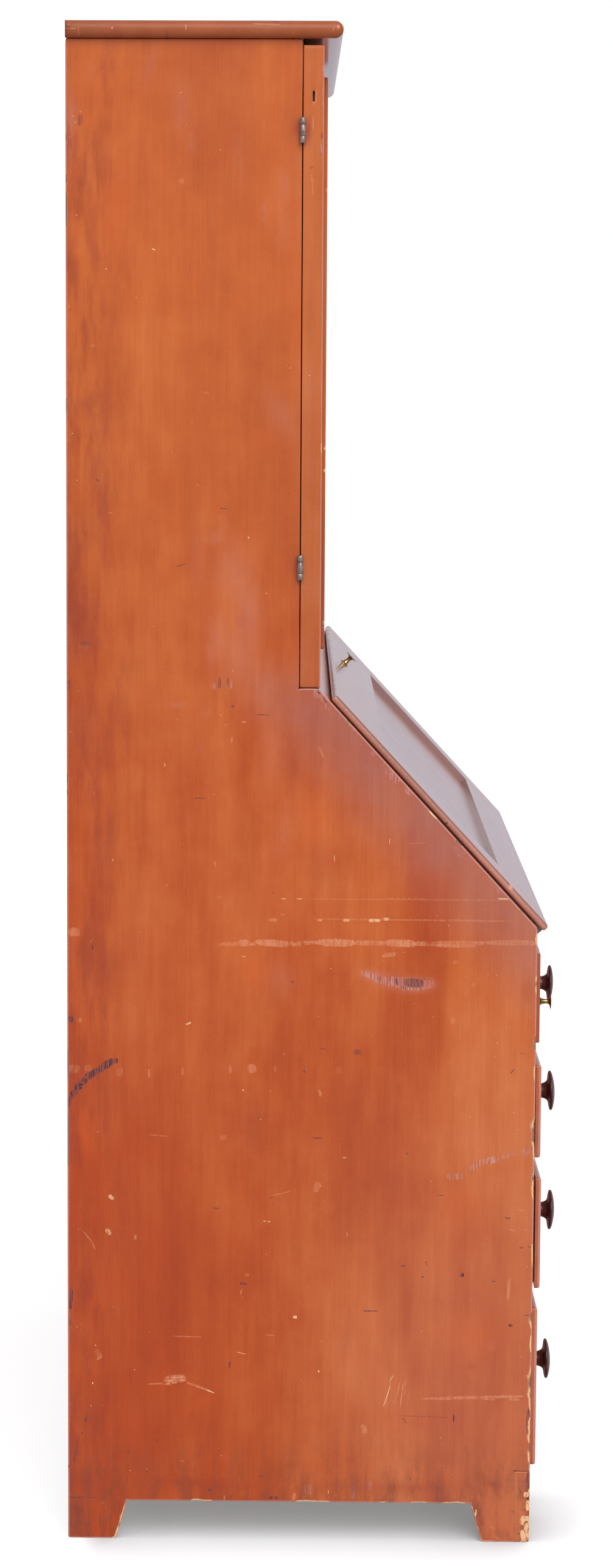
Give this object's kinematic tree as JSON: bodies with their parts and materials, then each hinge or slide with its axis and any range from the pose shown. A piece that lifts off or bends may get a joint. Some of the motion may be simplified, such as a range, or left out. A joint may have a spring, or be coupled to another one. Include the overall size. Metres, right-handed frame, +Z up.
{
  "type": "slant-front desk",
  "caption": "Tall painted pine slant-front desk: drawers below, a sloping lid that folds down on pull-out supports, and a bookcase with panelled doors above.",
  "frame": {"origin": "on the floor, at the middle of the part's width and of its depth from the back boards to the tips of the drawer knobs", "axes": "+Z up, -Y out of the front of the desk, +X to the right of someone who faces the front"},
  "size_m": [1.028, 0.6548, 2.0003],
  "materials": {
    "painted_pine": "worn orange-red wash, satin",
    "lid_paint": "worn orange-red wash, polished by use",
    "bare_pine": "unfinished, aged",
    "turned_wood": "dark varnish, glossy",
    "knob_brass": "aged, polished by use",
    "hinge_iron": "worn, lightly rusted"
  },
  "bodies": {
    "case": {"side_left": "painted_pine", "side_right": "painted_pine", "top_board": "painted_pine", "back_board_left": "bare_pine", "back_board_right": "bare_pine", "bottom_board": "bare_pine", "drawer_divider_1": "painted_pine", "drawer_divider_2": "painted_pine", "drawer_divider_3": "painted_pine", "loper_partition_left": "painted_pine", "loper_partition_right": "painted_pine", "writing_bed": "painted_pine", "desk_ledge": "painted_pine", "bookshelf_lower": "bare_pine", "bookshelf_upper": "bare_pine", "front_skirt": "painted_pine", "pigeonhole_gallery": "painted_pine", "door_hinge_case_left_lower": "hinge_iron", "door_hinge_case_left_upper": "hinge_iron", "door_hinge_case_right_lower": "hinge_iron", "door_hinge_case_right_upper": "hinge_iron", "lid_hinge_bed_left": "knob_brass", "lid_hinge_bed_right": "knob_brass"},
    "door_left": {"door_left_frame": "painted_pine", "door_left_panel": "painted_pine", "meeting_strip": "painted_pine", "door_hinge_leaf_left_lower": "hinge_iron", "door_hinge_leaf_left_upper": "hinge_iron"},
    "door_right": {"door_right_frame": "painted_pine", "door_right_panel": "painted_pine", "door_hinge_leaf_right_lower": "hinge_iron", "door_hinge_leaf_right_upper": "hinge_iron"},
    "lid": {"lid_frame": "lid_paint", "lid_panel": "lid_paint", "lid_knob": "knob_brass", "lid_hinge_leaf_left": "knob_brass", "lid_hinge_leaf_right": "knob_brass"},
    "loper_left": {"loper_left": "painted_pine", "loper_knob_left": "knob_brass"},
    "loper_right": {"loper_right": "painted_pine", "loper_knob_right": "knob_brass"},
    "drawer_1": {"drawer_1_front": "painted_pine", "drawer_1_box": "bare_pine", "drawer_1_knob_left": "turned_wood", "drawer_1_knob_right": "turned_wood"},
    "drawer_2": {"drawer_2_front": "painted_pine", "drawer_2_box": "bare_pine", "drawer_2_knob_left": "turned_wood", "drawer_2_knob_right": "turned_wood"},
    "drawer_3": {"drawer_3_front": "painted_pine", "drawer_3_box": "bare_pine", "drawer_3_knob_left": "turned_wood", "drawer_3_knob_right": "turned_wood"},
    "drawer_4": {"drawer_4_front": "painted_pine", "drawer_4_box": "bare_pine", "drawer_4_knob_left": "turned_wood", "drawer_4_knob_right": "turned_wood"},
    "small_drawer_left": {"small_drawer_left": "painted_pine"},
    "small_drawer_right": {"small_drawer_right": "painted_pine"}
  },
  "joints": [
    {"name": "door_left_hinge", "type": "hinge", "parent": "case", "child": "door_left", "pos_m": [-0.5043, 0.0244, 1.56], "axis": [0, 0, -1], "range_deg": [0, 180]},
    {"name": "door_right_hinge", "type": "hinge", "parent": "case", "child": "door_right", "pos_m": [0.5043, 0.0244, 1.56], "axis": [0, 0, 1], "range_deg": [0, 180]},
    {"name": "lid_hinge", "type": "hinge", "parent": "case", "child": "lid", "pos_m": [0, -0.2893, 0.8178], "axis": [1, 0, 0], "range_deg": [0, 132.7]},
    {"name": "loper_left_slide", "type": "slide", "parent": "case", "child": "loper_left", "axis": [0, -1, 0], "range_m": [0, 0.3]},
    {"name": "loper_right_slide", "type": "slide", "parent": "case", "child": "loper_right", "axis": [0, -1, 0], "range_m": [0, 0.3]},
    {"name": "drawer_1_slide", "type": "slide", "parent": "case", "child": "drawer_1", "axis": [0, -1, 0], "range_m": [0, 0.3]},
    {"name": "drawer_2_slide", "type": "slide", "parent": "case", "child": "drawer_2", "axis": [0, -1, 0], "range_m": [-0.001, 0.42]},
    {"name": "drawer_3_slide", "type": "slide", "parent": "case", "child": "drawer_3", "axis": [0, -1, 0], "range_m": [-0.0026, 0.42]},
    {"name": "drawer_4_slide", "type": "slide", "parent": "case", "child": "drawer_4", "axis": [0, -1, 0], "range_m": [0, 0.42]},
    {"name": "small_drawer_left_slide", "type": "slide", "parent": "case", "child": "small_drawer_left", "axis": [0, -1, 0], "range_m": [0, 0.15]},
    {"name": "small_drawer_right_slide", "type": "slide", "parent": "case", "child": "small_drawer_right", "axis": [0, -1, 0], "range_m": [0, 0.15]}
  ]
}
